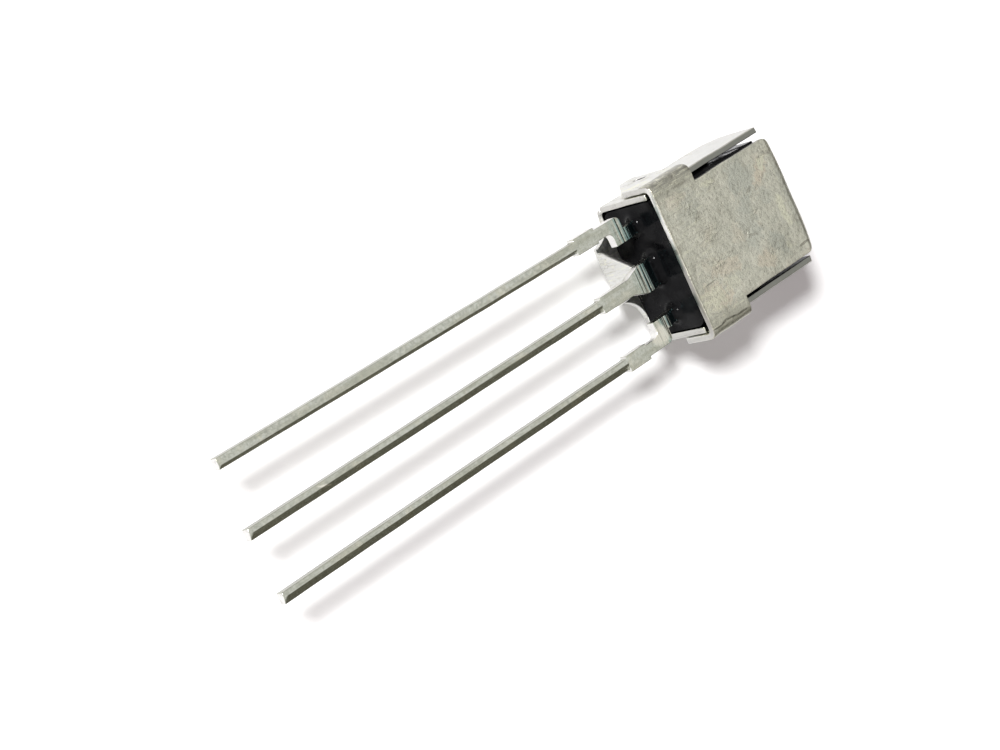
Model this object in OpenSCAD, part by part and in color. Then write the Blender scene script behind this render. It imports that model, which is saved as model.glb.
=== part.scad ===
// Three-lead infrared remote-control receiver: a black cast body with a domed
// lens, held in a folded tinplate shield. It lies on its lens, back plate up.
// X runs across the leads, +Y from the leads towards the head, +Z out of the
// back plate. The origin is on the middle lead's centre line, level with the
// shield's lower edge.

/* [Leads] */
// Spacing of the lead tips
lead_pitch = 2.54; // [2.4:0.02:2.6]
// Width of a lead below its stub
lead_w = 0.46; // [0.36:0.02:0.5]
// Thickness of the lead strip
lead_t = 0.4; // [0.3:0.02:0.45]
// Length of the leads below the shield
lead_len = 22.5; // [8:0.5:28]
// Width of the rolled edges on the back of a lead
lead_roll_w = 0.13; // [0.05:0.01:0.16]
// Depth of the rolled edges on the back of a lead
lead_roll_depth = 0.06; // [0.02:0.01:0.1]
// Spacing of the lead necks where they leave the casting
exit_pitch = 1.95; // [1.9:0.01:2.05]
// Width of an outer lead's neck
neck_w = 0.54; // [0.46:0.02:0.6]
// Reach of an outer lead's flag inwards from the lead's centre line
flag_in = 0.26; // [0.2:0.01:0.32]
// Reach of an outer lead's flag outwards from the lead's centre line
flag_out = 0.23; // [0.2:0.01:0.3]
// Width of the middle lead's neck
middle_neck_w = 1.2; // [0.9:0.02:1.3]
// How far the necks sit in front of the leads
joggle = 0.25; // [0.1:0.01:0.35]
// Where the joggle starts below the shield
joggle_top = 0.35; // [0.3:0.01:0.4]
// Where the joggle ends below the shield
joggle_end = 0.82; // [0.75:0.01:0.85]
// Width of a lead at its tie-bar stubs
stub_w = 0.68; // [0.6:0.02:0.8]
// Depth below the shield where the stubs start
stub_top = 2.45; // [2.3:0.05:2.6]
// Depth below the shield where the stubs end
stub_end = 3.65; // [3.3:0.05:4]
// Depth below the shield where an outer lead steps out
step_depth = 0.99; // [0.9:0.01:1.1]
// Radius of the corners of that step
step_r = 0.28; // [0.1:0.01:0.3]
// Depth below the shield where the inner lobe of an outer lead ends
lobe_depth = 1.65; // [1.55:0.05:1.8]
// Radius of the notch beside the inner lobe
notch_r = 0.27; // [0.2:0.01:0.32]
// Depth below the shield where the middle lead starts to narrow
taper_top = 1.14; // [1.05:0.01:1.3]
// Depth below the shield where the middle lead has narrowed
taper_end = 1.9; // [1.7:0.05:2.2]

/* [Shield] */
// Thickness of the tinplate
sheet_t = 0.25; // [0.15:0.01:0.3]
// Width over the side walls
shell_w = 6.1; // [6:0.05:6.6]
// Height of the shield from its lower edge
shell_h = 7.3; // [6.9:0.05:8]
// Depth from the front plate to the back plate
shell_d = 3.57; // [3.4:0.05:4]
// Distance from the leads' centre line to the back plate's outer face
back_to_leads = 1.47; // [1.35:0.01:1.6]
// Width of the back plate above its wings
back_w = 5.15; // [4.6:0.05:5.2]
// Width of the strip over the head
bridge_w = 5.2; // [5.2:0.05:5.45]
// Radius of the head's corners, seen from the back
head_corner_r = 0.75; // [0.3:0.05:0.8]
// Outer radius of the front plate's long bends
side_bend_r = 0.45; // [0.35:0.05:0.6]
// Outer radius of the bends over the head
head_bend_r = 0.55; // [0.4:0.05:0.7]
// Chamfer on the front upper corner of a side wall
wall_chamfer = 0.5; // [0.3:0.05:0.7]
// Gap between the back edge of a side wall and the back plate
wall_gap = 0.22; // [0.15:0.01:0.4]
// Height of the side walls from the lower edge
wall_h = 7.1; // [6.5:0.05:7.3]
// Height of the wings folded over the side walls
wing_h = 2.4; // [2:0.05:3]
// Reach of the wings from the back plate's outer face
wing_reach = 3.4; // [3:0.05:3.45]
// Gap between a wing and the side wall under it
wing_gap = 0.07; // [0.05:0.01:0.2]
// Outer radius of the wings' bends
wing_bend_r = 0.55; // [0.3:0.01:0.6]
// Height of the slanted cut on the front lower corner of a wing
wing_cut_h = 1.6; // [1:0.1:1.8]
// Length of that cut along the lower edge
wing_cut_l = 1.7; // [1:0.1:1.8]
// Length of the locking dimple pressed into each wing
dimple_l = 0.7; // [0.5:0.05:1]
// Width of the locking dimple
dimple_w = 0.34; // [0.15:0.01:0.4]
// Depth of the dimple's hollow on the outside of the wing
dimple_depth = 0.12; // [0.06:0.01:0.18]
// Height of the dimple above the lower edge
dimple_y = 1.77; // [1.4:0.01:1.9]
// Distance of the dimple from the back plate's outer face
dimple_back = 2.28; // [1.9:0.01:2.5]
// Diameter of the lens window
window_d = 4.5; // [4.3:0.05:4.8]
// How far the ground tongue stands below the shield
tongue_drop = 1.12; // [1.09:0.01:1.2]
// Width of the ground tongue at its fold
tongue_w = 2.5; // [2:0.1:3]
// Sideways offset of the tongue's fold from the middle lead
tongue_shift = -0.4; // [-0.6:0.02:0.2]
// Width of the tongue's tip on the middle lead
tongue_tip_w = 0.9; // [0.5:0.05:1]
// Inner radius of the tongue's fold
tongue_bend = 0.1; // [0.05:0.01:0.2]
// Radius of the fillets beside the tongue's root
tongue_fillet = 1.05; // [0.6:0.05:1.1]

/* [Casting] */
// Height of the lens centre above the shield's lower edge
lens_y = 3.65; // [3.3:0.05:4]
// How far the lens stands out of the front plate
lens_rise = 1; // [0.6:0.05:1.3]
// Diameter of the lens where it meets the casting
lens_d = 4.3; // [4:0.05:4.3]
// Clearance between the casting and the shield's walls
cast_gap = 0.06; // [0.03:0.01:0.1]
// Depth of the casting's open face inside the shield
cast_recess = 0.05; // [0.02:0.01:0.2]
// Radius of the resin's fillet around each neck
meniscus_r = 0.35; // [0.2:0.01:0.35]
// Distance of the fillet's foot from a neck's middle
meniscus_foot = 0.28; // [0.25:0.01:0.3]
// Draft of the casting over its height
cast_draft = 0.12; // [0:0.01:0.2]
// Chamfer round the casting's head
cast_chamfer = 0.4; // [0.35:0.05:0.6]

/* [Chips] */
// Side of the photodiode chip
diode_side = 1.6; // [1:0.1:1.8]
// Side of the receiver chip
receiver_side = 1.3; // [1:0.1:1.4]
// Thickness of both chips
chip_t = 0.25; // [0.2:0.01:0.35]
// Thickness of the conductive adhesive under each chip
glue_t = 0.03; // [0.02:0.01:0.05]
// How far the adhesive spreads past a chip's edge
glue_over = 0.05; // [0.02:0.01:0.1]
// Diameter of the bond wires
wire_d = 0.05; // [0.03:0.01:0.06]
// Distance of a bond from the edge of its chip
bond_inset = 0.2; // [0.15:0.01:0.3]
// Width of the paddle that carries the chips
paddle_w = 2.2; // [2.1:0.05:2.4]
// Height of the paddle's lower edge
paddle_y = 0.9; // [0.7:0.05:1]
// Height of the paddle's upper edge
paddle_top = 4.8; // [4.7:0.05:5.2]
// Height of the receiver chip's centre
receiver_y = 1.85; // [1.75:0.05:1.95]

/* [Hidden] */
$fn = 48;

half_w = shell_w / 2;
back_z = back_to_leads;
front_z = back_to_leads - shell_d;
inner_front_z = front_z + sheet_t;
inner_back_z = back_z - sheet_t;
wall_back_z = inner_back_z - wall_gap;
wing_x = half_w + wing_gap + sheet_t;
lens_r = (pow(lens_d / 2, 2) + pow(lens_rise + sheet_t, 2)) / (2 * (lens_rise + sheet_t));
lens_z = inner_front_z - lens_rise - sheet_t + lens_r;
neck_z = -joggle;
pad_z = neck_z - lead_t / 2;
chip_z = pad_z - glue_t;
chip_top_z = chip_z - chip_t;
pad_gap = 0.3;
pad_in_x = paddle_w / 2 + pad_gap;
pad_out_x = exit_pitch + neck_w / 2;
pad_top = 2.3;
plate_tint = "#a3a093";
lead_tint = "#b9bba9";
reach = 20;

// A prism that runs along Y: its outline is drawn in X and Z.
module along_y(y0, y1) {
    translate([0, y1, 0]) rotate([90, 0, 0]) linear_extrude(y1 - y0) children();
}

// A prism that runs along Z: its outline is drawn in X and Y.
module along_z(z0, z1) {
    translate([0, 0, z0]) linear_extrude(z1 - z0) children();
}

// A prism that runs along X: its outline is drawn in Y and Z.
module along_x(x0, x1) {
    translate([x0, 0, 0]) rotate([90, 0, 90]) linear_extrude(x1 - x0) children();
}

// A rectangle from one corner to the other, with round corners.
module round_box(low, high, r) {
    translate([low[0] + r, low[1]]) square([high[0] - low[0] - 2 * r, high[1] - low[1]]);
    translate([low[0], low[1] + r]) square([high[0] - low[0], high[1] - low[1] - 2 * r]);
    for (x = [low[0] + r, high[0] - r], y = [low[1] + r, high[1] - r])
        translate([x, y]) circle(r);
}

// A bent strip of sheet: a round-cornered ring, one sheet thick.
module sheet_ring(low, high, r) {
    difference() {
        round_box(low, high, r);
        round_box([low[0] + sheet_t, low[1] + sheet_t],
                  [high[0] - sheet_t, high[1] - sheet_t], r - sheet_t);
    }
}

// ---- shield ----

// Front plate and both side walls, folded as one channel open at the back.
module channel() {
    chamfer_low = wall_h - wall_chamfer;
    along_y(0, chamfer_low) difference() {
        sheet_ring([-half_w, front_z], [half_w, back_z + reach], side_bend_r);
        translate([-reach, wall_back_z]) square([2 * reach, 2 * reach]);
    }
    // the walls rise a little above the front plate's round corners
    flat_z = front_z + side_bend_r;
    for (side = [-1, 1])
        along_x(side * half_w - (side + 1) / 2 * sheet_t, side * half_w + (1 - side) / 2 * sheet_t)
            polygon([[0, flat_z], [chamfer_low, flat_z], [wall_h, flat_z + wall_chamfer],
                     [wall_h, wall_back_z], [0, wall_back_z]]);
}

// Strip over the head, from the front plate to the narrow back plate.
module head_strip() {
    bend_top = shell_h - head_bend_r;
    front_low = wall_h - wall_chamfer - sheet_t;
    difference() {
        intersection() {
            along_x(-reach, reach) difference() {
                sheet_ring([-reach, front_z], [shell_h, back_z], head_bend_r);
                translate([-2 * reach, front_z - 1]) square([2 * reach, shell_d + 2]);
                translate([-1, front_z - 1]) square([front_low + 1, shell_d / 2]);
            }
            along_z(-reach, reach)
                round_box([-bridge_w / 2, -1], [bridge_w / 2, shell_h], head_corner_r);
        }
        // the strip narrows to the back plate below its bend
        for (side = [-1, 1])
            along_z(back_z - head_bend_r, reach)
                translate([side * (back_w + shell_w) / 2 - shell_w / 2, -1])
                    square([shell_w, bend_top + 1]);
    }
}

// Wide foot of the back plate with its two wings.
module wings() {
    front_edge = back_z - wing_reach;
    difference() {
        along_y(0, wing_h) difference() {
            sheet_ring([-wing_x, front_edge - reach], [wing_x, back_z], wing_bend_r);
            translate([-reach, front_edge - 2 * reach]) square([2 * reach, 2 * reach]);
        }
        // the front lower corner of each wing is cut away at a slant
        along_x(-reach, reach)
            polygon([[-1, front_edge - 1], [wing_cut_h, front_edge - 1],
                     [wing_cut_h, front_edge], [0, front_edge + wing_cut_l],
                     [-1, front_edge + wing_cut_l]]);
        for (side = [-1, 1]) dimple(side, wing_x - dimple_depth, wing_x + 1);
    }
    for (side = [-1, 1]) dimple(side, half_w, half_w + wing_gap + sheet_t / 4);
}

// Locking dimple of one wing, between two distances from the middle.
module dimple(side, x0, x1) {
    lean = 80;
    end_r = dimple_w * 0.48;
    along_x(side > 0 ? x0 : -x1, side > 0 ? x1 : -x0)
        translate([dimple_y, back_z - dimple_back]) rotate(lean)
            round_box([-dimple_l / 2, -dimple_w / 2], [dimple_l / 2, dimple_w / 2], end_r);
}

// Tongue that grounds the shield: it drops from the front plate and folds back
// until its tip meets the middle lead.
module tongue() {
    fold_left = tongue_shift - tongue_w / 2;
    fold_right = tongue_shift + tongue_w / 2;
    tip_z = -lead_t / 2;
    fold_r = sheet_t + tongue_bend;
    fold_z = front_z + fold_r;
    intersection() {
        along_x(-half_w, half_w)
            difference() {
                sheet_ring([-tongue_drop, front_z], [reach, reach], fold_r);
                translate([sheet_t, front_z - 1]) square([2 * reach, 3 * reach]);
                translate([-2 * reach, tip_z]) square([4 * reach, 2 * reach]);
            }
        union() {
            // the flat tongue, seen from below
            along_y(-2 * tongue_drop, fold_r - tongue_drop)
                polygon([[fold_left, front_z - 1], [fold_left, front_z],
                         [-middle_neck_w / 2, tip_z], [tongue_tip_w - middle_neck_w / 2, tip_z],
                         [fold_right, fold_z], [fold_right, front_z - 1]]);
            // its root in the front plate, with a fillet on each side
            along_z(front_z - 1, fold_z) difference() {
                translate([fold_left - tongue_fillet, -2 * tongue_drop])
                    square([tongue_w + 2 * tongue_fillet, 2 * tongue_drop + sheet_t]);
                for (x = [fold_left - tongue_fillet, fold_right + tongue_fillet]) {
                    translate([x, -tongue_fillet]) circle(tongue_fillet);
                    translate([x - tongue_fillet, -3 * tongue_drop])
                        square([2 * tongue_fillet, 3 * tongue_drop - tongue_fillet]);
                }
            }
        }
    }
}

module shield() {
    color(plate_tint) difference() {
        union() {
            channel();
            head_strip();
            wings();
            tongue();
        }
        along_z(front_z - 1, inner_front_z + sheet_t)
            translate([0, lens_y]) circle(d = window_d);
    }
}

// ---- leads ----

// Side view of a lead: flat, with a joggle towards the front near the casting.
module lead_profile(top) {
    bend = lead_t * 0.2;
    polygon([[-stub_end - 0.2, -lead_t / 2], [-joggle_end - bend / 2, -lead_t / 2],
             [-joggle_top - bend / 2, neck_z - lead_t / 2], [top, neck_z - lead_t / 2],
             [top, neck_z + lead_t / 2], [-joggle_top + bend / 2, neck_z + lead_t / 2],
             [-joggle_end + bend / 2, lead_t / 2], [-stub_end - 0.2, lead_t / 2]]);
}

// Straight lower part of a lead, with the rolled edges that stamping leaves.
module shank() {
    along_y(-lead_len, -stub_end + 0.05)
        polygon([[-lead_w / 2, -lead_t / 2], [lead_w / 2, -lead_t / 2],
                 [lead_w / 2, lead_t / 2 - lead_roll_depth],
                 [lead_w / 2 - lead_roll_w, lead_t / 2],
                 [-lead_w / 2 + lead_roll_w, lead_t / 2],
                 [-lead_w / 2, lead_t / 2 - lead_roll_depth]]);
}

// Stamped outline of the right-hand outer lead, from its bond pad to its stubs.
module outer_outline() {
    lead_in = lead_pitch - flag_in;
    lead_out = lead_pitch + flag_out;
    neck_in = exit_pitch - neck_w / 2;
    translate([neck_in, -lobe_depth]) square([neck_w, pad_top + lobe_depth]);
    translate([pad_in_x, paddle_y]) square([pad_out_x - pad_in_x, pad_top - paddle_y]);
    // flag that carries the lead outwards from neck to stub
    round_box([neck_in, -lobe_depth], [lead_out, -step_depth], step_r);
    difference() {
        translate([lead_in - notch_r, -stub_top - 0.1])
            square([lead_out - lead_in + notch_r, stub_top - step_depth - step_r]);
        translate([lead_in - notch_r, -lobe_depth - notch_r]) circle(notch_r);
        translate([lead_in - 2 * notch_r, -stub_top - 1])
            square([2 * notch_r, stub_top + 1 - lobe_depth - notch_r]);
    }
    translate([lead_pitch - stub_w / 2, -stub_end]) square([stub_w, stub_end - stub_top]);
}

// Stamped outline of the middle lead, with the paddle that carries the chips.
module middle_outline() {
    translate([-middle_neck_w / 2, -taper_top]) square([middle_neck_w, taper_top + paddle_y + 0.1]);
    translate([-paddle_w / 2, paddle_y]) square([paddle_w, paddle_top - paddle_y]);
    polygon([[-middle_neck_w / 2, -taper_top], [-stub_w / 2, -taper_end],
             [-stub_w / 2, -stub_end], [stub_w / 2, -stub_end],
             [stub_w / 2, -taper_end], [middle_neck_w / 2, -taper_top]]);
}

module outer_lead() {
    intersection() {
        along_z(-2, 2) outer_outline();
        along_x(-reach, reach) lead_profile(pad_top);
    }
    translate([lead_pitch, 0, 0]) shank();
}

module lead_supply() {
    color(lead_tint) outer_lead();
}

module lead_output() {
    color(lead_tint) mirror([1, 0, 0]) outer_lead();
}

module lead_ground() {
    color(lead_tint) {
        intersection() {
            along_z(-2, 2) middle_outline();
            along_x(-reach, reach) lead_profile(paddle_top);
        }
        shank();
    }
}

// ---- chips ----

module chip(side, y, z, t) {
    translate([-side / 2, y - side / 2, z - t]) cube([side, side, t]);
}

module photodiode_chip() {
    color("#2b3350") chip(diode_side, lens_y, chip_z, chip_t);
}

module receiver_chip() {
    color("#4a4f58") chip(receiver_side, receiver_y, chip_z, chip_t);
}

module chip_adhesive() {
    color("silver") {
        chip(diode_side + 2 * glue_over, lens_y, pad_z, glue_t);
        chip(receiver_side + 2 * glue_over, receiver_y, pad_z, glue_t);
    }
}

// One wire: a half-round loop between two points, with a leg down to its far end.
module bond_wire(start, end, leg) {
    run = end - start;
    span = norm(run);
    translate([start[0], start[1], chip_top_z]) rotate([0, 0, atan2(run[1], run[0])]) {
        translate([span / 2, 0, 0]) rotate([-90, 0, 0]) rotate_extrude(angle = 180)
            translate([span / 2, 0]) circle(d = wire_d, $fn = 16);
        if (leg > 0) translate([span, 0, 0]) cylinder(d = wire_d, h = leg, $fn = 16);
    }
}

module bond_wires() {
    edge = receiver_side / 2 - bond_inset;
    pad_mid = (pad_in_x + pad_out_x) / 2;
    leg = pad_z - chip_top_z;
    color("gold") {
        for (side = [-1, 1])
            bond_wire([side * edge, receiver_y], [side * pad_mid, receiver_y], leg);
        bond_wire([-edge / 2, receiver_y + edge], [-edge / 2, lens_y - diode_side / 2 + bond_inset], 0);
        bond_wire([0, receiver_y - edge], [0, paddle_y + bond_inset / 2], leg);
    }
}

// ---- casting ----

// Block that fills the shield, with a little draft towards the head.
module cast_block() {
    low = cast_recess;
    high = shell_h - sheet_t - cast_gap;
    wide = half_w - sheet_t - cast_gap;
    back = inner_back_z - cast_gap;
    top_w = wide - cast_draft;
    top_z = back - cast_draft;
    shoulder = high - cast_chamfer;
    intersection() {
        along_z(-reach, reach)
            polygon([[-wide, low], [wide, low], [top_w, shoulder], [top_w - cast_chamfer, high],
                     [cast_chamfer - top_w, high], [-top_w, shoulder]]);
        along_x(-reach, reach)
            polygon([[low, inner_front_z], [shoulder, inner_front_z],
                     [high, inner_front_z + cast_chamfer], [high, top_z - cast_chamfer],
                     [shoulder, top_z], [low, back]]);
        along_y(-1, reach)
            round_box([-wide, inner_front_z], [wide, back], side_bend_r);
    }
}

// Concave fillet that the resin draws up around a neck.
module meniscus(x, run) {
    module fillet() {
        difference() {
            square([meniscus_foot + meniscus_r, meniscus_r]);
            translate([meniscus_foot + meniscus_r, meniscus_r]) circle(meniscus_r);
        }
    }
    for (side = run > 0 ? [-1, 1] : [0])
        translate([x + side * run, cast_recess, neck_z]) rotate([90, 0, 0])
            rotate_extrude() fillet();
    if (run > 0)
        along_x(x - run, x + run) for (flip = [0, 1])
            translate([cast_recess, neck_z]) mirror([0, flip]) rotate(90) fillet();
}

module resin_body() {
    color("#16161a") difference() {
        union() {
            cast_block();
            intersection() {
                translate([0, lens_y, lens_z]) sphere(lens_r, $fn = 96);
                along_z(-reach, inner_front_z + sheet_t) circle(reach);
            }
            for (side = [-1, 1]) meniscus(side * exit_pitch, 0);
            meniscus(0, (middle_neck_w - neck_w) / 2);
        }
        lead_output();
        lead_ground();
        lead_supply();
        photodiode_chip();
        receiver_chip();
        chip_adhesive();
        bond_wires();
    }
}

shield();
resin_body();
lead_output();
lead_ground();
lead_supply();
photodiode_chip();
receiver_chip();
chip_adhesive();
bond_wires();
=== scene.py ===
import math

import bmesh
import bpy
from mathutils import Matrix, Vector, noise
from mathutils.bvhtree import BVHTree


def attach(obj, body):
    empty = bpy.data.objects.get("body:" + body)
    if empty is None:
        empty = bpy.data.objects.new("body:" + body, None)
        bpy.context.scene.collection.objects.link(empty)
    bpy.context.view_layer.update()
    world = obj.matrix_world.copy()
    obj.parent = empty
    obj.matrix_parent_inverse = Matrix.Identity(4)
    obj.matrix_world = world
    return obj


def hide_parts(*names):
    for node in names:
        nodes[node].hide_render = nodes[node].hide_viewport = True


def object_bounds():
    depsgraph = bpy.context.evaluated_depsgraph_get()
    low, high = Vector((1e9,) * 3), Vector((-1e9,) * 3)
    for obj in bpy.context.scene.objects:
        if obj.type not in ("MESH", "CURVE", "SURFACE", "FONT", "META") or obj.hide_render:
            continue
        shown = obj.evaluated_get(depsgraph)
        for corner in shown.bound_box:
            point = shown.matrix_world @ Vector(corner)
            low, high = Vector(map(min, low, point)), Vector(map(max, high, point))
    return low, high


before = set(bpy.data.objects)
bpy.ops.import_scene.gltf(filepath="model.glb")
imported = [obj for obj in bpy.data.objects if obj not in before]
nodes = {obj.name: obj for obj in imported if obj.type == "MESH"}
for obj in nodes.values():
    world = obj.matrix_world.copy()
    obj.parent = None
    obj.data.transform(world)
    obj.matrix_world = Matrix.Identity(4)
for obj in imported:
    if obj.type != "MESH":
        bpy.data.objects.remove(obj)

mm = 0.001
cadBox = [list(corner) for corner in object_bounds()]
scene = bpy.context.scene
print("frame loaded:", ", ".join(sorted(nodes)))


# camera

cameraSpot = {
    "place": (-18.238, -70.110, 78.738),   # mm, up behind the lead tips
    "right": (0.4170, 0.6708, 0.6133),
    "up": (-0.8906, 0.4364, 0.1282),
    "sensor": 36,
    "lens": 96.08,
    "nearest": 0.001,                      # m
    "furthest": 10,
}


def makeCamera(spot):
    data = bpy.data.cameras.new("camera")
    data.sensor_width = spot["sensor"]
    data.lens = spot["lens"]
    data.clip_start = spot["nearest"]
    data.clip_end = spot["furthest"]
    camera = bpy.data.objects.new("camera", data)
    scene.collection.objects.link(camera)
    right = Vector(spot["right"]).normalized()
    up = Vector(spot["up"])
    up = (up - right * up.dot(right)).normalized()
    turn = Matrix((right, up, right.cross(up))).transposed().to_4x4()
    camera.matrix_world = Matrix.Translation(Vector(spot["place"]) * mm) @ turn
    scene.camera = camera


makeCamera(cameraSpot)
print("camera placed")


# small helpers for node trees

def setSocket(tree, socket, value):
    if isinstance(value, bpy.types.NodeSocket):
        tree.links.new(value, socket)
    else:
        socket.default_value = value


def addNode(tree, kind, inputs=None, **settings):
    node = tree.nodes.new(kind)
    for key, value in settings.items():
        setattr(node, key, value)
    for key, value in (inputs or {}).items():
        setSocket(tree, node.inputs[key], value)
    return node


def mathNode(tree, operation, first, second=0.0, clamp=False):
    return addNode(tree, "ShaderNodeMath", {0: first, 1: second},
                   operation=operation, use_clamp=clamp).outputs[0]


def vectorNode(tree, operation, first, second):
    return addNode(tree, "ShaderNodeVectorMath", {0: first, 1: second}, operation=operation)


# product of several masks and amounts
def times(tree, first, *others):
    for other in others:
        first = mathNode(tree, "MULTIPLY", first, other)
    return first


def rangeNode(tree, value, low, high, outLow=0.0, outHigh=1.0, smooth=False):
    return addNode(tree, "ShaderNodeMapRange",
                   {"Value": value, "From Min": low, "From Max": high,
                    "To Min": outLow, "To Max": outHigh},
                   interpolation_type="SMOOTHSTEP" if smooth else "LINEAR").outputs["Result"]


# one between two values, nought outside them
def between(tree, value, low, high, soft=0.01):
    above = rangeNode(tree, value, low - soft, low + soft)
    below = rangeNode(tree, value, high - soft, high + soft, 1.0, 0.0)
    return times(tree, above, below)


def mixColour(tree, factor, first, second):
    node = addNode(tree, "ShaderNodeMix", {0: factor}, data_type="RGBA", blend_type="MIX")
    for index, value in ((6, first), (7, second)):
        if not isinstance(value, bpy.types.NodeSocket):
            value = (*value, 1)
        setSocket(tree, node.inputs[index], value)
    return node.outputs[2]


# lay a tint over a colour where the masks multiply to one
def tinted(tree, colour, tint, *masks):
    return mixColour(tree, times(tree, *masks), colour, tint)


def noiseNode(tree, place, scale, detail=3.0, rough=0.5, stretch=(1, 1, 1), distortion=0.0):
    if stretch != (1, 1, 1):
        place = addNode(tree, "ShaderNodeMapping",
                        {"Vector": place, "Scale": stretch}).outputs["Vector"]
    return addNode(tree, "ShaderNodeTexNoise",
                   {"Vector": place, "Scale": scale, "Detail": detail, "Roughness": rough,
                    "Distortion": distortion}).outputs["Fac"]


# each bump lies on the normal of the one before it
def bumpNode(tree, layers, invert=False, normal=None):
    for height, strength, distance in layers:
        inputs = {"Height": height, "Strength": strength, "Distance": distance * mm}
        if normal is not None:
            inputs["Normal"] = normal
        normal = addNode(tree, "ShaderNodeBump", inputs, invert=invert).outputs["Normal"]
    return normal


def inMillimetres(tree):
    spot = addNode(tree, "ShaderNodeTexCoord").outputs["Object"]
    return vectorNode(tree, "MULTIPLY", spot, (1000, 1000, 1000)).outputs[0]


def facingNode(tree, axis):
    normal = addNode(tree, "ShaderNodeTexCoord").outputs["Normal"]
    facing = addNode(tree, "ShaderNodeSeparateXYZ", {0: normal}).outputs[axis]
    return mathNode(tree, "ABSOLUTE", facing)


def newGroup(name, inputs, outputs):
    group = bpy.data.node_groups.new(name, "ShaderNodeTree")
    for label, value in {"Place": None, **inputs}.items():
        isVector = value is None
        kind = "NodeSocketVector" if isVector else "NodeSocketFloat"
        socket = group.interface.new_socket(label, in_out="INPUT", socket_type=kind)
        if not isVector:
            socket.default_value = value
    for label in outputs:
        group.interface.new_socket(label, in_out="OUTPUT", socket_type="NodeSocketFloat")
    given = addNode(group, "NodeGroupInput").outputs
    return group, given, addNode(group, "NodeGroupOutput").inputs


def useGroup(tree, group, place, inputs):
    return addNode(tree, "ShaderNodeGroup", {"Place": place, **inputs}, node_tree=group).outputs


def newMaterial(name):
    material = bpy.data.materials.new(name)
    material.use_nodes = True
    tree = material.node_tree
    return material, tree, tree.nodes["Principled BSDF"]


def setShader(tree, shader, colour, rough, metal, normal=None):
    setSocket(tree, shader.inputs["Base Color"], colour)
    setSocket(tree, shader.inputs["Roughness"], rough)
    shader.inputs["Metallic"].default_value = metal
    if normal is not None:
        tree.links.new(normal, shader.inputs["Normal"])


# effects shared by the finishes

# soft stains: cloudy noise cut off at a soft threshold
def makeStainGroup():
    group, given, out = newGroup("stains", {"Scale": 1.0, "Spread": 0.5, "Edge": 0.1}, ["Mask"])
    clouds = noiseNode(group, given["Place"], given["Scale"], 4.0, 0.62, distortion=0.4)
    low = mathNode(group, "SUBTRACT", given["Spread"], given["Edge"])
    high = mathNode(group, "ADD", given["Spread"], given["Edge"])
    group.links.new(rangeNode(group, clouds, low, high, smooth=True), out["Mask"])
    return group


# fine grain: the pitted, orange-peel texture of plated or moulded skin
def makeGrainGroup():
    group, given, out = newGroup("grain", {"Scale": 8.0}, ["Height", "Speckle"])
    coarse = noiseNode(group, given["Place"], given["Scale"], 3.0, 0.7)
    fine = noiseNode(group, given["Place"], times(group, given["Scale"], 3.7), 2.0, 0.6)
    both = mathNode(group, "ADD", times(group, coarse, 0.65), times(group, fine, 0.35))
    group.links.new(both, out["Height"])
    group.links.new(rangeNode(group, fine, 0.58, 0.72, smooth=True), out["Speckle"])
    return group


# scratches: thin broken lines that run along the stretched direction
def makeScratchGroup():
    group, given, out = newGroup(
        "scratches", {"Turn": 0.0, "Length": 0.25, "Fine": 9.0, "Amount": 0.06}, ["Mask"])
    turn = addNode(group, "ShaderNodeCombineXYZ", {"Z": given["Turn"]}).outputs[0]
    size = addNode(group, "ShaderNodeCombineXYZ",
                   {"X": given["Length"], "Y": given["Fine"], "Z": 1.0}).outputs[0]
    spot = addNode(group, "ShaderNodeMapping",
                   {"Vector": given["Place"], "Rotation": turn}).outputs["Vector"]
    spot = vectorNode(group, "MULTIPLY", spot, size).outputs[0]
    lines = noiseNode(group, spot, 1.0, 2.0, 0.55)
    away = mathNode(group, "ABSOLUTE", mathNode(group, "SUBTRACT", lines, 0.5))
    near = mathNode(group, "SUBTRACT", 1.0, mathNode(group, "DIVIDE", away, given["Amount"]),
                    clamp=True)
    broken = noiseNode(group, given["Place"], 0.8, 2.0)
    kept = rangeNode(group, broken, 0.5, 0.66, smooth=True)
    group.links.new(times(group, near, kept), out["Mask"])
    return group


# patch: one ragged oval, placed and turned in the part's own millimetres
def makePatchGroup():
    group, given, out = newGroup(
        "patch", {"Middle": None, "Size": None, "Turn": 0.0, "Ragged": 0.6}, ["Mask"])
    offset = vectorNode(group, "SUBTRACT", given["Place"], given["Middle"]).outputs[0]
    turned = addNode(group, "ShaderNodeVectorRotate",
                     {"Vector": offset, "Angle": given["Turn"]},
                     rotation_type="Z_AXIS").outputs[0]
    scaled = vectorNode(group, "DIVIDE", turned, given["Size"]).outputs[0]
    far = addNode(group, "ShaderNodeVectorMath", {0: scaled}, operation="LENGTH").outputs["Value"]
    edge = mathNode(group, "SUBTRACT", noiseNode(group, given["Place"], 3.2, 3.0, 0.65), 0.5)
    shift = times(group, edge, times(group, given["Ragged"], 3.0))
    group.links.new(rangeNode(group, mathNode(group, "ADD", far, shift), 1.15, 0.6, smooth=True),
                    out["Mask"])
    return group


patchGroup = makePatchGroup()
stainGroup = makeStainGroup()
grainGroup = makeGrainGroup()
scratchGroup = makeScratchGroup()
print("effects ready")


def stainMask(tree, place, scale, spread, edge):
    return useGroup(tree, stainGroup, place,
                    {"Scale": scale, "Spread": spread, "Edge": edge})["Mask"]


def patchMask(tree, place, middle, size, turn=0, ragged=0.1):
    return useGroup(tree, patchGroup, place,
                    {"Middle": middle, "Size": size, "Turn": -math.radians(turn),
                     "Ragged": ragged})["Mask"]


# tinned sheet

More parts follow.
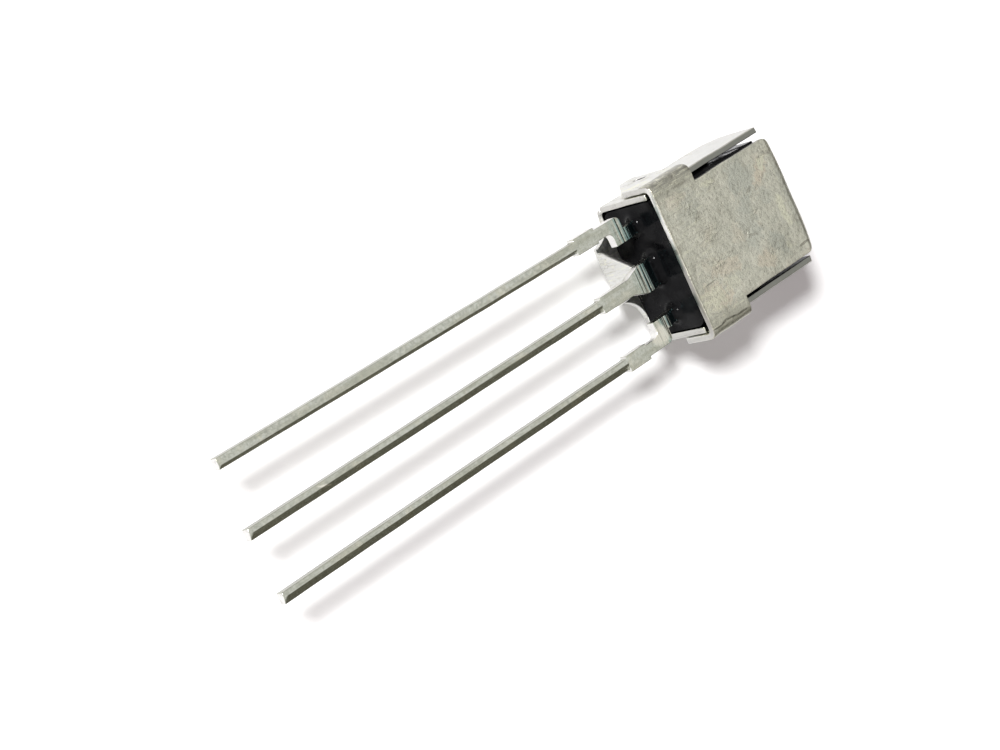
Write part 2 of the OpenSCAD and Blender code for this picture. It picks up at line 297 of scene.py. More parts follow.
tinSheet = {
    "grey": (0.93, 0.915, 0.785),
    "shade": (0.80, 0.795, 0.68),
    "cool": (0.72, 0.74, 0.655),
    "warm": (0.95, 0.85, 0.69),
    "pale": (1.0, 0.99, 0.80),
    "strand": (0.62, 0.60, 0.49),     # lines drawn along the strip
    "scratch": (0.34, 0.32, 0.26),
    # painted shade, for the dark line along the supply side's fold
    "dark": (0.12, 0.115, 0.09),
    "side": (0.84, 0.84, 0.825),
    # painted shade on the wings' folds
    "fold": (0.62, 0.61, 0.51),
    "turned": (0.38, 0.37, 0.32),     # painted shade on the outer half of the output side's fold
    "paintedShade": (0.02, 0.02, 0.022),      # painted shade inside the shield and in the dimples
    "rough": 0.34,
    "grain": 5.6,
    # where each tint begins and ends, mm across, along and out of the back plate
    "plateDeep": (1.2, 1.3),
    "sideDeep": (1.3, 0.9),
    "sideAmount": 0.85,
    "foldShadeAmount": 0.9,
    "foldShadeAcross": (2.2, 2.9),
    "foldShadeAlong": (3.0, 2.5),
    "foldShadeDeep": (0.85, 1.0),
    "turnedShadeAcross": (-2.8, -3.2),
    "turnedShadeDeep": (0.75, 0.95),
    "strandAlong": (3.4, 1.6),
    "strandAmounts": (0.15, 0.6),
    "strandStretch": (13.0, 1.1, 1.1),
    "brinkShadeAlong": (0.1, 0.05),
    "brinkShadeDeep": (1.41, 1.43),
    "brinkShadeAmount": 0.55,
    "speckDeep": (0.9, 1.3),
    "speckHeight": (0.53, 0.36),
    "speckAmount": 0.38,
    "glintAmount": 0.3,
    "dimpleAcross": (3.05, 3.335),
    "dimpleAlong": (1.2, 2.35),
    "dimpleDeep": (-1.3, -0.3),
    "insideShadeAcross": (-2.83, 2.83),
    "insideShadeAlong": (0.02, 0.06),
    "insideShadeDeep": (-1.86, 1.215),
    "stains": [
        # colour, amount, scale, spread, edge
        ("shade", 1.0, 2.1, 0.5, 0.13), ("warm", 0.35, 0.9, 0.6, 0.06),
    ],
    "strands": [
        # colour, from and to which height of the drawn noise
        ("strand", 0.52, 0.68), ("pale", 0.48, 0.34),
    ],
    "scratches": [
        # colour, amount, turn, length, fineness, width; the last ones also dent the sheet
        ("scratch", 0.65, 1.75, 0.7, 11.0, 0.026), ("pale", 0.6, 0.5, 0.9, 8.0, 0.028),
        ("scratch", 0.6, 0.9, 0.4, 3.5, 0.012),
    ],
    "marks": [
        # colour, amount, x, y, half length, half width, turn, raggedness
        ("cool", 0.75, -1.7, 4.7, 1.0, 0.8, 15, 0.5), ("cool", 0.7, 0.1, 4.2, 1.3, 0.6, -8, 0.5),
        ("cool", 0.85, 1.5, 5.3, 0.75, 0.42, 35, 0.5), ("cool", 0.45, -1.9, 1.5, 0.8, 0.8, 0, 0.5),
        # the first mark on the next line, a band across the head at y 6.8, is painted shade where the head
        # starts to bend
        ("cool", 0.4, 0.0, 6.8, 2.3, 0.26, 0, 0.1), ("cool", 0.5, -0.5, 5.6, 0.5, 0.4, 60, 0.5),
        ("warm", 0.8, -1.5, 5.9, 0.75, 0.32, -50, 0.7), ("warm", 0.8, 1.95, 0.95, 1.0, 0.6, 60, 0.7),
        ("warm", 0.6, 1.8, 4.3, 0.6, 0.4, 80, 0.6), ("warm", 0.6, 1.1, 2.0, 0.9, 0.4, 80, 0.7),
        ("warm", 0.4, -2.3, 0.9, 0.7, 0.3, 90, 0.7),
        ("pale", 1.0, 0.35, 6.22, 0.75, 0.24, 3, 0.6), ("pale", 0.9, -1.75, 6.15, 0.42, 0.2, -40, 0.8),
        ("pale", 0.9, -2.2, 2.95, 0.42, 0.15, 84, 0.5), ("pale", 0.8, 1.95, 0.8, 0.75, 0.5, 70, 0.9),
        ("pale", 0.6, 1.8, 5.75, 0.25, 0.15, 20, 0.7), ("pale", 0.5, 1.75, 2.0, 0.5, 0.3, 80, 0.9),
        # the first mark on the next line, a pale line across the head at y 6.6, is a painted highlight where
        # the head starts to bend
        ("pale", 0.6, 0.0, 6.6, 1.9, 0.022, 0, 0.03), ("pale", 0.5, -1.9, 3.0, 0.62, 0.018, 93, 0.1),
        ("scratch", 0.8, 1.33, 0.9, 0.42, 0.035, 92, 0.15), ("scratch", 0.35, -0.3, 1.6, 0.45, 0.02, 97, 0.1),
        ("scratch", 0.35, -0.2, 2.1, 0.8, 0.016, 103, 0.1), ("scratch", 0.3, 1.5, 4.7, 0.9, 0.014, 92, 0.1),
        ("scratch", 0.7, 2.1, 6.55, 0.34, 0.06, 95, 0.2), ("scratch", 0.5, -1.05, 4.9, 0.22, 0.09, 110, 0.5),
        ("scratch", 0.4, 0.6, 4.1, 0.3, 0.07, 70, 0.5), ("scratch", 0.4, -2.0, 6.6, 0.4, 0.09, 75, 0.6),
        # the last mark on the next line, by the lower edge at x -0.45, is painted shade in a small notch
        ("scratch", 0.5, -2.75, 1.6, 0.5, 0.07, 88, 0.7), ("scratch", 0.45, -0.45, 0.1, 0.2, 0.1, 0, 0.4),
        # painted shade: the dark marks form a broken line along the supply side's fold
        ("dark", 0.85, 3.01, 0.3, 0.3, 0.05, 90, 0.2), ("dark", 0.9, 2.96, 0.69, 0.2, 0.05, 106, 0.2),
        ("dark", 0.9, 2.96, 1.17, 0.4, 0.05, 82, 0.2), ("dark", 0.85, 3.02, 1.85, 0.4, 0.05, 90, 0.2),
    ],
    "markDeep": (1.47, 9),            # mm: height of the marks and half the depth that they reach
}


def makeTinSheet(values):
    material, tree, shader = newMaterial("tinSheet")
    place = inMillimetres(tree)
    across, along, deep = addNode(tree, "ShaderNodeSeparateXYZ", {0: place}).outputs
    outward = mathNode(tree, "ABSOLUTE", across)
    grain = useGroup(tree, grainGroup, place, {"Scale": values["grain"]})
    height = grain["Height"]

    colour = values["grey"]
    for tint, amount, scale, spread, edge in values["stains"]:
        colour = tinted(tree, colour, values[tint], stainMask(tree, place, scale, spread, edge),
                        amount)
    side = rangeNode(tree, deep, *values["sideDeep"], 0.0, values["sideAmount"])
    colour = tinted(tree, colour, values["side"], side)
    # painted shade: the wings' folds darkened
    colour = tinted(tree, colour, values["fold"],
                    rangeNode(tree, outward, *values["foldShadeAcross"], 0.0, values["foldShadeAmount"],
                              smooth=True),
                    rangeNode(tree, along, *values["foldShadeAlong"], 0.35, 1.0, smooth=True),
                    rangeNode(tree, deep, *values["foldShadeDeep"]))
    # painted shade on the outer half of the output side's fold
    colour = tinted(tree, colour, values["turned"],
                    rangeNode(tree, across, *values["turnedShadeAcross"], smooth=True),
                    rangeNode(tree, deep, *values["turnedShadeDeep"], smooth=True))

    plate = rangeNode(tree, deep, *values["plateDeep"])
    level, reach = values["markDeep"]
    for tint, amount, x, y, length, width, turn, ragged in values["marks"]:
        patch = patchMask(tree, place, (x, y, level), (length, width, reach), turn, ragged)
        colour = tinted(tree, colour, values[tint], patch, amount, plate)
    drawn = noiseNode(tree, place, 1.0, 3.0, 0.7, values["strandStretch"])
    lower = rangeNode(tree, along, *values["strandAlong"], *values["strandAmounts"], smooth=True)
    for tint, low, high in values["strands"]:
        strand = rangeNode(tree, drawn, low, high, smooth=True)
        colour = tinted(tree, colour, values[tint], strand, lower)
    # painted shade: a thin dark line along the back plate's lower edge
    colour = tinted(tree, colour, values["scratch"],
                    rangeNode(tree, along, *values["brinkShadeAlong"], 0.0, values["brinkShadeAmount"]),
                    rangeNode(tree, deep, *values["brinkShadeDeep"]))
    colour = tinted(tree, colour, values["scratch"],
                    rangeNode(tree, height, *values["speckHeight"], 0.0, values["speckAmount"],
                              smooth=True),
                    rangeNode(tree, deep, *values["speckDeep"], 0.3, 1.0))
    colour = tinted(tree, colour, values["pale"], grain["Speckle"], values["glintAmount"])
    for tint, amount, turn, length, fine, width in values["scratches"]:
        lines = useGroup(tree, scratchGroup, place,
                         {"Turn": turn, "Length": length, "Fine": fine, "Amount": width})["Mask"]
        colour = tinted(tree, colour, values[tint], lines, amount)

    # painted shade in the wings' dimples
    colour = tinted(tree, colour, values["paintedShade"],
                    between(tree, outward, *values["dimpleAcross"]),
                    between(tree, along, *values["dimpleAlong"]),
                    between(tree, deep, *values["dimpleDeep"]))
    # painted shade inside the shield, in the gap behind the resin
    colour = tinted(tree, colour, values["paintedShade"],
                    between(tree, across, *values["insideShadeAcross"]),
                    between(tree, deep, *values["insideShadeDeep"]),
                    rangeNode(tree, along, *values["insideShadeAlong"]))

    rough = rangeNode(tree, height, 0.3, 0.7, values["rough"] - 0.07, values["rough"] + 0.09)
    waves = noiseNode(tree, place, 0.9, 2.0)
    normal = bumpNode(tree, [(waves, 0.12, 0.3), (height, 0.9, 0.04)])
    normal = bumpNode(tree, [(lines, 0.5, 0.02)], invert=True, normal=normal)
    setShader(tree, shader, colour, rough, 1.0, normal)
    return material


# sheared edges of the sheet and the strip

shearedEdge = {
    "bright": (1.0, 0.985, 0.95),
    "upturnedShade": (0.33, 0.335, 0.30),       # painted shade on cuts that face back
    "sheet": (0.66, 0.65, 0.61),       # the sheet's cuts, next to the brighter leads
    "wearAndShade": (0.40, 0.38, 0.35),
    "rough": 0.3,
    "grain": 4.0,
    "sheetFrom": (-0.5, -0.3),         # mm along, where the leads' cuts end
    "shadedLengths": [                        # amount, x, half length: painted shade over lengths of the lower cut, on its right half and in a small notch
        (0.8, 1.6, 1.7), (0.9, -0.47, 0.13),
    ],
    "highlightLength": (-2.0, 1.5),           # x and half length of the painted highlight along the lower cut
    "lowerCut": 1.35,                  # mm: its height
}


def makeShearedEdge(values):
    material, tree, shader = newMaterial("shearedEdge")
    place = inMillimetres(tree)
    height = useGroup(tree, grainGroup, place, {"Scale": values["grain"]})["Height"]
    upward = rangeNode(tree, facingNode(tree, "Z"), 0.4, 0.8, smooth=True)
    level = values["lowerCut"]
    # painted highlight: a bright length of the lower cut, kept out of the sheet's darker tone
    middle, length = values["highlightLength"]
    highlightMask = patchMask(tree, place, (middle, 0, level), (length, 0.3, 0.3))
    along = addNode(tree, "ShaderNodeSeparateXYZ", {0: place}).outputs["Y"]
    colour = tinted(tree, values["bright"], values["sheet"],
                    rangeNode(tree, along, *values["sheetFrom"]),
                    mathNode(tree, "SUBTRACT", 1.0, highlightMask))
    # painted shade: cuts that face up are darker
    colour = tinted(tree, colour, values["upturnedShade"], upward)
    # random wear from the grain, and painted shade over the listed lengths of the lower cut
    wearAndShade = rangeNode(tree, height, 0.5, 0.35, 0.0, 0.4, smooth=True)
    for amount, x, length in values["shadedLengths"]:
        patch = patchMask(tree, place, (x, 0, level), (length, 0.3, 0.4))
        wearAndShade = mathNode(tree, "MAXIMUM", wearAndShade, times(tree, patch, amount))
    colour = tinted(tree, colour, values["wearAndShade"], wearAndShade)
    setShader(tree, shader, colour, values["rough"], 1.0, bumpNode(tree, [(height, 0.3, 0.03)]))
    return material


# tinned leads

tinLead = {
    "face": (0.75, 0.765, 0.68),
    "streak": (0.62, 0.63, 0.53),
    "cream": (0.88, 0.85, 0.70),
    "creamStains": (0.8, 0.58, 0.09),  # scale, spread, edge
    "creamAmount": 0.55,
    "speck": (0.40, 0.41, 0.34),
    "speckAmount": 0.5,
    "crease": (0.22, 0.39, 0.37),
    "creaseAlong": (-1.9, -1.05),      # mm, from the stub up to the resin
    "creaseAmount": 0.8,
    "stain": (0.06, 0.17, 0.205),
    "stainAlong": (-1.25, -0.45),      # where the heat stain starts and is full
    "stainWobble": 0.7,
    "stainAmount": 0.85,
    "flankShade": (0.54, 0.54, 0.47),
    "flankShadeAmount": 0.85,
    "brightSpot": (1.0, 0.97, 0.85),
    "brightSpots": [                         # middle, half size, turn, amount: pale spots, the second a painted highlight on the supply lead's flag
        ((-0.02, -18.9, 0.19), (0.32, 0.05, 1.0), 70, 1.0),
        ((2.28, -1.5, 0.19), (0.7, 0.42, 1.0), 80, 0.85),
    ],
    "rough": 0.2,
    "grain": 5.0,
}


def makeTinLead(values):
    material, tree, shader = newMaterial("tinLead")
    place = inMillimetres(tree)
    along = addNode(tree, "ShaderNodeSeparateXYZ", {0: place}).outputs["Y"]
    height = useGroup(tree, grainGroup, place, {"Scale": values["grain"]})["Height"]
    streak = noiseNode(tree, place, 3.2, 3.0, 0.6, (1.0, 0.12, 1.0))
    colour = tinted(tree, values["face"], values["streak"],
                    rangeNode(tree, streak, 0.42, 0.66, smooth=True))
    colour = tinted(tree, colour, values["cream"],
                    stainMask(tree, place, *values["creamStains"]), values["creamAmount"])
    colour = tinted(tree, colour, values["speck"],
                    rangeNode(tree, height, 0.58, 0.38, 0.0, values["speckAmount"]))

    creases = noiseNode(tree, place, 1.6, 1.5, 0.5, (0.2, 4.0, 0.2))
    nearBend = times(tree, rangeNode(tree, along, *values["creaseAlong"], smooth=True),
                     rangeNode(tree, creases, 0.35, 0.65, smooth=True))
    colour = tinted(tree, colour, values["crease"], nearBend, values["creaseAmount"])
    wobble = times(tree, mathNode(tree, "SUBTRACT", noiseNode(tree, place, 2.4, 2.0), 0.5),
                   values["stainWobble"])
    stained = rangeNode(tree, mathNode(tree, "ADD", along, wobble), *values["stainAlong"],
                        smooth=True)
    colour = tinted(tree, colour, values["stain"], stained, values["stainAmount"])
    # painted shade: faces turned sideways are darker
    flankShadeMask = rangeNode(tree, facingNode(tree, "X"), 0.5, 0.9, 0.0, values["flankShadeAmount"])
    colour = tinted(tree, colour, values["flankShade"], flankShadeMask)
    # pale spots; the one on the supply lead's flag is a painted highlight
    for middle, size, turn, amount in values["brightSpots"]:
        brightSpot = patchMask(tree, place, middle, size, turn, 0.3)
        colour = tinted(tree, colour, values["brightSpot"], brightSpot, amount)

    rough = rangeNode(tree, streak, 0.3, 0.7, values["rough"] - 0.06, values["rough"] + 0.1)
    normal = bumpNode(tree, [(nearBend, 0.35, 0.06), (height, 0.3, 0.03)])
    setShader(tree, shader, colour, rough, 1.0, normal)
    return material


# black resin

blackResin = {
    "deep": (0.003, 0.003, 0.0035),
    "smear": (0.010, 0.010, 0.0105),
    "smearStains": (0.7, 0.54, 0.12),    # scale, spread, edge
    "rough": 0.06,
    "gloss": 0.09,
    "bend": 1.5,                         # index of refraction
    "grain": 3.0,
    "hardAngle": 25,                     # degrees over which an edge stays hard
}


def makeBlackResin(values):
    material, tree, shader = newMaterial("blackResin")
    place = inMillimetres(tree)
    smear = stainMask(tree, place, *values["smearStains"])
    specks = useGroup(tree, grainGroup, place, {"Scale": values["grain"]})["Speckle"]
    colour = tinted(tree, values["deep"], values["smear"], smear)
    rough = rangeNode(tree, smear, 0.0, 1.0, values["rough"], values["rough"] + 0.16)
    ripple = noiseNode(tree, place, 0.8, 1.0)
    normal = bumpNode(tree, [(ripple, 0.5, 0.3), (specks, 0.15, 0.02)])
    setShader(tree, shader, colour, rough, 0.0, normal)
    shader.inputs["IOR"].default_value = values["bend"]
    shader.inputs["Specular IOR Level"].default_value = values["gloss"]
    return material


# chips, adhesive and wires, sealed inside the casting

insideFinishes = {
    # material, dark and light colour, roughness, metal
    "photodiode_chip": ("photodiodeSilicon", (0.03, 0.04, 0.09), (0.05, 0.06, 0.13), 0.15, 0.3),
    "receiver_chip": ("receiverSilicon", (0.12, 0.13, 0.15), (0.19, 0.19, 0.2), 0.22, 0.5),
    "chip_adhesive": ("silverAdhesive", (0.5, 0.5, 0.5), (0.66, 0.66, 0.64), 0.6, 0.7),
    "bond_wires": ("goldWire", (0.8, 0.58, 0.22), (0.95, 0.75, 0.36), 0.25, 1.0),
}
insideGrain = 6.0


def makeInsideFinish(name, dark, light, rough, metal):
    material, tree, shader = newMaterial(name)
    height = useGroup(tree, grainGroup, inMillimetres(tree), {"Scale": insideGrain})["Height"]
    setShader(tree, shader, tinted(tree, dark, light, height),
              rangeNode(tree, height, 0.3, 0.7, rough - 0.05, rough + 0.1), metal)
    return material


def paintNode(node, *materials):
    node.data.materials.clear()
    for material in materials:
        node.data.materials.append(material)


sheetFinish = makeTinSheet(tinSheet)
edgeFinish = makeShearedEdge(shearedEdge)
leadFinish = makeTinLead(tinLead)
resinFinish = makeBlackResin(blackResin)
casting = nodes["resin_body"]
paintNode(casting, resinFinish)
split = casting.modifiers.new("split", "EDGE_SPLIT")
split.split_angle = math.radians(blackResin["hardAngle"])
casting.modifiers.new("shading", "WEIGHTED_NORMAL")
for nodeName, values in insideFinishes.items():
    paintNode(nodes[nodeName], makeInsideFinish(*values))
print("finishes ready")


# pieces

pieceWork = {
    "flatAngle": 0.4,       # degrees: faces this flat to each other become one
    "cutAngle": 60,
    "thinnestCut": 0.15,    # mm
    "bevelAngle": 40,
    "bevelSteps": 2,
    "strayed": 0.7,         # widths from the sheet at which a bevelled point is pulled back
    "sliceWeld": 0.0004,    # mm
    "hardAngle": 9,         # edges this sharp stay hard on faces turned up
    "turnedUp": 0.85,
    "evenness": 60,
    "waveSeed": 4,
}
noise.seed_set(pieceWork["waveSeed"])    # without it the waves differ from run to run


def sharpEdge(edge, degrees):
    return len(edge.link_faces) == 2 and edge.calc_face_angle(0) > math.radians(degrees)


# faces as narrow as the sheet is thick, between two hard edges, are sheared
def isSheared(face, thickness):
    sides = sorted(face.edges, key=lambda edge: -edge.calc_length())[:2]
    narrow = 2 * face.calc_area() / sum(edge.calc_length() for edge in face.edges)
    return (pieceWork["thinnestCut"] * mm < narrow < thickness * mm
            and all(sharpEdge(edge, pieceWork["cutAngle"]) for edge in sides))


def cleanCopy(nodeName, weld):
    work = bmesh.new()
    work.from_mesh(nodes[nodeName].data)
    bmesh.ops.remove_doubles(work, verts=work.verts, dist=weld * mm)
    bmesh.ops.dissolve_limit(work, angle_limit=math.radians(pieceWork["flatAngle"]),
                             verts=work.verts, edges=work.edges)
    return work


def bevelled(piece, width):
    bevel = piece.modifiers.new("edges", "BEVEL")
    bevel.width = width * mm
    bevel.segments = pieceWork["bevelSteps"]
    bevel.limit_method = "ANGLE"
    bevel.angle_limit = math.radians(pieceWork["bevelAngle"])
    bevel.use_clamp_overlap = False
    bevel.material = 0
    solved = piece.evaluated_get(bpy.context.evaluated_depsgraph_get())
    smooth = bpy.data.meshes.new_from_object(solved)
    piece.modifiers.remove(bevel)
    work = bmesh.new()
    work.from_mesh(smooth)
    bpy.data.meshes.remove(smooth)
    return work


def slicePiece(work, axis, low, high, step):
    count = max(1, round((high - low) / step))
    normal = Vector([float(index == axis) for index in range(3)])
    for index in range(count + 1):
        where = (low + (high - low) * index / count) * mm
        bmesh.ops.bisect_plane(work, geom=work.verts[:] + work.edges[:] + work.faces[:],
                               dist=pieceWork["sliceWeld"] * mm, plane_co=normal * where,
                               plane_no=normal)


# bevelled, sliced and then pushed out of true by the form's own rule
def shapePiece(nodeName, pieceName, work, finishes, bevelWidth, slices, rule):
    rough = bpy.data.meshes.new(pieceName)
    for finish in finishes:    # before the bevel, which forgets each face's finish without them
        rough.materials.append(finish)
    work.to_mesh(rough)
    before = BVHTree.FromBMesh(work)
    work.free()
    piece = bpy.data.objects.new(pieceName, rough)
    scene.collection.objects.link(piece)
    work = bevelled(piece, bevelWidth)
    for vert in work.verts:    # a bevel that shot out at a sliver goes back to the sheet
        near, _, _, away = before.find_nearest(vert.co)
        if away > pieceWork["strayed"] * bevelWidth * mm:
            vert.co = near
    for axis, low, high, step in slices:
        slicePiece(work, axis, low, high, step)
    for vert in work.verts:
        vert.co = rule(vert.co / mm) * mm
    for face in work.faces:
        face.smooth = True
    for edge in work.edges:
        turnedUp = all(face.normal.z > pieceWork["turnedUp"] for face in edge.link_faces)
        if turnedUp and sharpEdge(edge, pieceWork["hardAngle"]):
            edge.smooth = False
    work.to_mesh(rough)
    work.free()
    weighted = piece.modifiers.new("shading", "WEIGHTED_NORMAL")
    weighted.weight = pieceWork["evenness"]
    weighted.keep_sharp = True
    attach(piece, "root")
    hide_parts(nodeName)
    return piece


def ramp(value, low, high):
    part = min(1.0, max(0.0, (value - low) / (high - low)))
    return part * part * (3 - 2 * part)


shieldForm = {
    "weld": 0.013,
    "thickness": 0.26,
    "bevel": 0.03,
    "slices": [(0, -3.2, 3.2, 0.4), (1, -0.8, 7.2, 0.4), (2, -1.6, 1.2, 0.4)],
    "head": (6.0, 7.3),             # stretch of the head that bows
    "crown": 0.05,                  # how far its middle stands proud
    "pinch": 0.09,                  # how far its corners hang back
    "crownHalf": 2.6,
    "slack": 0.05,                  # and how much further the corner on the supply side does
    "slackAcross": (1.6, 2.6),
    "fold": (2.82, 0.92),           # start of the wings' bends, outward and up
    "foldEnd": 2.6,                 # how far they reach towards the head
    "foldSquare": 3.2,              # 2 is a round bend, more is squarer
    "foldUneven": 0.9,
    "foldPace": 1.7,
    "wallTop": (6.6, 7.1),          # the side walls' upper ends stand a little taller
    "wallX": 2.78,
    "wallRise": 0.07,
    "plateFrom": 1.0,               # above this the dents count
    "frontFlat": -1.9,              # below this the front plate stays flat
    "wave": 0.022,
    "waveSize": 1.3,
    "dents": [                      # x, y, radius, depth in the back plate
        (2.2, 6.3, 0.35, 0.05), (2.45, 0.5, 0.3, 0.05), (2.5, 1.5, 0.35, 0.06),
        (-1.6, 5.9, 0.9, 0.03), (0.9, 1.2, 0.8, 0.03), (-0.5, 3.6, 1.2, 0.03),
        (1.6, 4.4, 0.9, -0.02), (-1.9, 2.0, 0.7, 0.025),
    ],
}


def shieldRule(form):
    foldX, foldZ = form["fold"]

    def move(place):
        x, y, z = place
        head = ramp(y, *form["head"])
        slack = form["slack"] * ramp(x, *form["slackAcross"])
        y += head * (form["crown"] - form["pinch"] * (abs(x) / form["crownHalf"]) ** 3 - slack)
        outer = abs(x) - foldX
        level = z - foldZ
        if outer > 0 and level > 0 and y < form["foldEnd"]:
            uneven = noise.noise(Vector((x, y * form["foldPace"], 3.0)))
            power = form["foldSquare"] + form["foldUneven"] * uneven
            reach = math.hypot(outer, level)
            square = ((outer / reach) ** power + (level / reach) ** power) ** (-1 / power)
            x = math.copysign(foldX + outer * square, x)
            z = foldZ + level * square
        if abs(x) > form["wallX"] and y > form["wallTop"][0]:
            y += form["wallRise"] * ramp(y, *form["wallTop"])
        if z > form["plateFrom"]:
            z -= sum(depth * math.exp(-((x - dentX) ** 2 + (y - dentY) ** 2) / size ** 2)
                     for dentX, dentY, size, depth in form["dents"])
        shake = noise.noise_vector(Vector((x, y, z)) / form["waveSize"]) * form["wave"]
        rise = 0 if z < form["frontFlat"] else shake.z
        return Vector((x + shake.x, y + shake.y, z + rise))
    return move


def makeShield(form):
    work = cleanCopy("shield", form["weld"])
    for face in work.faces:
        face.material_index = 1 if isSheared(face, form["thickness"]) else 0
    piece = shapePiece("shield", "foldedShield", work, (sheetFinish, edgeFinish), form["bevel"],
                       form["slices"], shieldRule(form))


leadForms = {
    "lead_output": {"name": "outputLead", "middle": -2.54, "ridge": 0.08, "shoulder": 0.115,
                    "splay": -0.2, "longer": 0.0},
    "lead_ground": {"name": "groundLead", "middle": 0.0, "ridge": -0.03, "shoulder": 0.09,
                    "splay": 0.0, "longer": 0.1},
    "lead_supply": {"name": "supplyLead", "middle": 2.54, "ridge": -0.04, "shoulder": 0.085,
                    "splay": 0.05, "longer": 0.0},
}
leadShape = {
    "weld": 0.0005,
    "bevel": 0.025,
    "step": 0.35,
    "margin": 0.2,           # mm kept whole at both ends when it is sliced
    "stubEnd": -3.65,
    "strip": 18.85,          # mm from the stub to the tip
    "splayPower": 1.2,
    "stripFrom": -3.5,
    "topFrom": 0.19,         # points above this belong to the strip's top
    "ridge": (0.05, 0.15),   # where its middle points lie, across
    "edge": (-0.15, -0.05),
    "edgeTo": (-0.2, 0.165),          # across and up
    "shoulder": (0.2, 0.25),
    "shoulderHigh": (0.1, 0.18),
    "shake": 0.008,
    "shakePace": (0.3, 0.8, 0.3),
    "shakeAlong": (0.9, 2.5),
    "endCutFrom": -3.3,
    "sideCut": (-3.7, -0.9),
}


def leadRule(form, shape):
    paceX, paceY, paceZ = shape["shakePace"]

    def move(place):
        x, y, z = place
        down = max(0.0, shape["stubEnd"] - y) / shape["strip"]
        x += form["splay"] * down ** shape["splayPower"]
        y -= form["longer"] * down
        spot = Vector((x * paceX + form["middle"], y * paceY, z * paceZ))
        shake = noise.noise_vector(spot)
        shake *= shape["shake"] * ramp(-y, *shape["shakeAlong"])
        return Vector((x + shake.x, y, z + shake.z))
    return move


def within(value, limits):
    low, high = limits
    return low < value < high


# the strip's top is rolled to a ridge off its middle, with a lower edge on one side
def rollStrip(work, form, shape):
    middle = form["middle"]
    for vert in work.verts:
        if vert.co.y / mm >= shape["stripFrom"]:
            continue
        side = vert.co.x / mm - middle
        height = vert.co.z / mm
        onTop = height > shape["topFrom"]
        if onTop and within(side, shape["ridge"]):
            vert.co.x = (middle + form["ridge"]) * mm
        elif onTop and within(side, shape["edge"]):
            edgeX, edgeZ = shape["edgeTo"]
            vert.co.x = (middle + edgeX) * mm
            vert.co.z = edgeZ * mm
        elif within(height, shape["shoulderHigh"]) and within(side, shape["shoulder"]):
            vert.co.z = form["shoulder"] * mm


def makeLead(nodeName, form, shape):
    work = cleanCopy(nodeName, shape["weld"])
    low = min(vert.co.y for vert in work.verts) / mm
    rollStrip(work, form, shape)
    for face in work.faces:
        along = face.calc_center_median().y / mm
        endCut = face.normal.y < -0.9 and along < shape["endCutFrom"]
        sideCut = abs(face.normal.z) < 0.3 and within(along, shape["sideCut"])
        face.material_index = 1 if endCut or sideCut else 0
    slices = [(1, low + shape["margin"], -shape["margin"], shape["step"])]
    piece = shapePiece(nodeName, form["name"], work, (leadFinish, edgeFinish), shape["bevel"],
                       slices, leadRule(form, shape))


makeShield(shieldForm)
print("shield made")
for nodeName, form in leadForms.items():
    makeLead(nodeName, form, leadShape)
print("leads made")


# floor and light

studio = {
    "floorHalf": 1.5,             # m
    "floorShown": 1.25,
    "floorMirrored": (0.36, 0.36, 0.366),
    "floorGlow": 1.65,
    "floorFar": 0.257,
    "floorDark": 0.093,
    "floorTurn": (0.1, 0.6),      # from far to dark, towards the dark side
    "floorFall": (14, 32),        # mm from the part where its mirrored white fades
    "floorAlong": (-24, 6),       # mm: the length that counts as the part
    "floorLit": 0.8,
    "keyFrom": (-0.438, -0.582, 0.685),
    "keyFar": 0.30,
    "keySize": 0.066,
    "keyPower": 1.14,
    "keyAim": (0, -5, 0),         # mm
    "fill": (0.30, 0.277, 0.275),
    "darkSide": (0.66, 0.75, 0.0),
    "skyTurn": (0.0, 0.6),        # from bright to plain sky, towards the dark side
    "skyBright": (0.72, 0.72, 0.72),
    "skyPlain": (0.72, 0.72, 0.71),
    "bandSide": (0.3, 0.7),       # dark band over the horizon on the dark side
    "bandHigh": (0.72, 0.48),
    "band": (0.12, 0.115, 0.09),
    "farSide": (0.3, 0.6),        # grey stretch low over the horizon beyond the head
    "farHigh": (0.42, 0.16),
    "far": (0.30, 0.29, 0.27),
}


def alike(value):
    return (value,) * 3


def towardDark(tree, spot, values):
    side = Vector(values["darkSide"]).normalized()
    return vectorNode(tree, "DOT_PRODUCT", spot, tuple(side)).outputs["Value"]


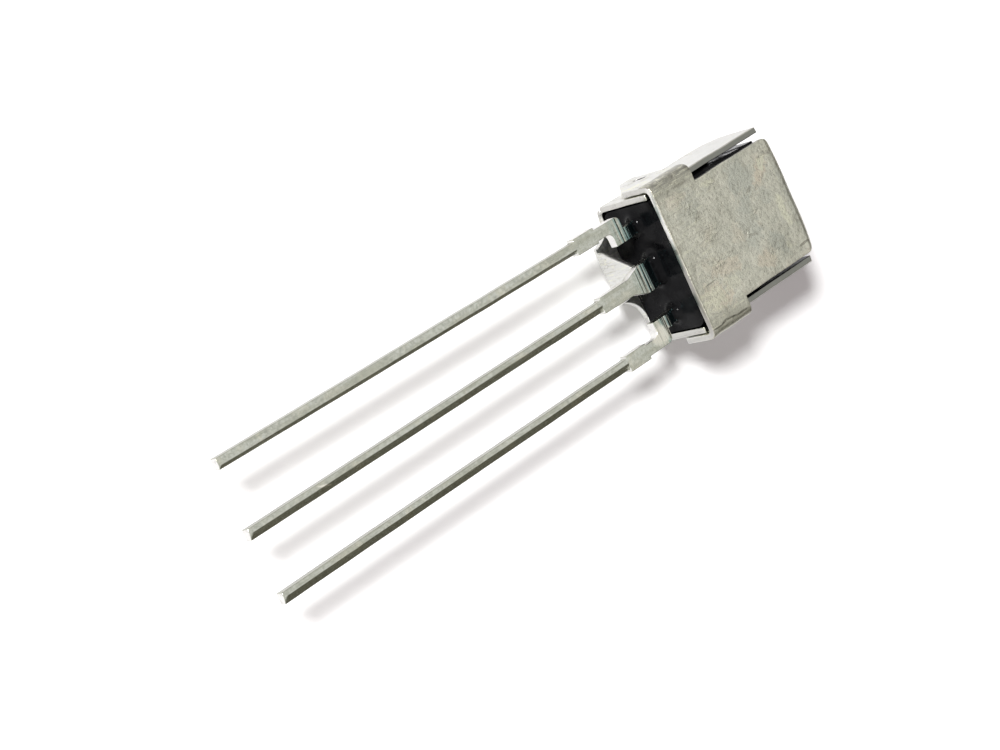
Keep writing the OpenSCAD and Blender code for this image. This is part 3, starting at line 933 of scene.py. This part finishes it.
# white to the camera, lit for shadows, and a glow of its own for what mirrors it
def makeFloorFinish(values):
    material, tree, shader = newMaterial("paleFloor")
    tree.nodes.remove(shader)
    rays = addNode(tree, "ShaderNodeLightPath").outputs
    place = inMillimetres(tree)
    along = addNode(tree, "ShaderNodeSeparateXYZ", {0: place}).outputs["Y"]
    low, high = values["floorAlong"]
    nearest = addNode(tree, "ShaderNodeClamp", {0: along, 1: low, 2: high}).outputs[0]
    under = addNode(tree, "ShaderNodeCombineXYZ", {"Y": nearest}).outputs[0]
    place = vectorNode(tree, "SUBTRACT", place, under).outputs[0]
    far = addNode(tree, "ShaderNodeVectorMath", {0: place}, operation="LENGTH").outputs["Value"]
    toward = mathNode(tree, "DIVIDE", towardDark(tree, place, values), far)
    away = mixColour(tree, rangeNode(tree, toward, *values["floorTurn"], smooth=True),
                     alike(values["floorFar"]), alike(values["floorDark"]))
    mirrored = mixColour(tree, rangeNode(tree, far, *values["floorFall"], smooth=True),
                         values["floorMirrored"], away)
    straight = mathNode(tree, "MAXIMUM", rays["Is Camera Ray"], rays["Is Transmission Ray"])
    colour = mixColour(tree, rays["Is Glossy Ray"], alike(values["floorLit"]), mirrored)
    colour = mixColour(tree, straight, colour, alike(values["floorShown"]))
    diffuse = addNode(tree, "ShaderNodeBsdfDiffuse", {"Color": colour})
    glow = addNode(tree, "ShaderNodeEmission",
                   {"Color": mirrored,
                    "Strength": times(tree, values["floorGlow"], rays["Is Glossy Ray"])})
    both = addNode(tree, "ShaderNodeAddShader", {0: diffuse.outputs[0], 1: glow.outputs[0]})
    tree.links.new(both.outputs[0], tree.nodes["Material Output"].inputs["Surface"])
    return material


def makeFloor(values):
    mesh = bpy.data.meshes.new("floor")
    half = values["floorHalf"]
    low = cadBox[0][2]
    mesh.from_pydata([(-half, -half, low), (half, -half, low), (half, half, low),
                      (-half, half, low)], [], [(0, 1, 2, 3)])
    floor = bpy.data.objects.new("floor", mesh)
    scene.collection.objects.link(floor)
    mesh.materials.append(makeFloorFinish(values))


def makeKeyLamp(values):
    data = bpy.data.lights.new("keyLamp", "AREA")
    data.shape = "DISK"
    data.size = values["keySize"]
    data.energy = values["keyPower"]
    lamp = bpy.data.objects.new("keyLamp", data)
    scene.collection.objects.link(lamp)
    aim = Vector(values["keyAim"]) * mm
    lamp.location = aim + Vector(values["keyFrom"]).normalized() * values["keyFar"]
    lamp.rotation_euler = (aim - lamp.location).to_track_quat("-Z", "Y").to_euler()


def makeWorld(values):
    world = bpy.data.worlds.new("studio")
    scene.world = world
    world.use_nodes = True
    tree = world.node_tree
    spot = addNode(tree, "ShaderNodeTexCoord").outputs["Generated"]
    toward = towardDark(tree, spot, values)
    parts = addNode(tree, "ShaderNodeSeparateXYZ", {0: spot}).outputs
    height = parts["Z"]
    sky = mixColour(tree, rangeNode(tree, toward, *values["skyTurn"], smooth=True),
                    values["skyBright"], values["skyPlain"])
    sky = tinted(tree, sky, values["far"],
                 rangeNode(tree, parts["Y"], *values["farSide"], smooth=True),
                 rangeNode(tree, height, *values["farHigh"], smooth=True))
    sky = tinted(tree, sky, values["band"],
                 rangeNode(tree, toward, *values["bandSide"], smooth=True),
                 rangeNode(tree, height, *values["bandHigh"], smooth=True))
    glossy = addNode(tree, "ShaderNodeLightPath").outputs["Is Glossy Ray"]
    shown = tree.nodes["Background"].inputs
    tree.links.new(mixColour(tree, glossy, values["fill"], sky), shown["Color"])
    shown["Strength"].default_value = 1.0


makeFloor(studio)
makeKeyLamp(studio)
makeWorld(studio)
scene.view_settings.view_transform = "Standard"
print("floor and light ready")
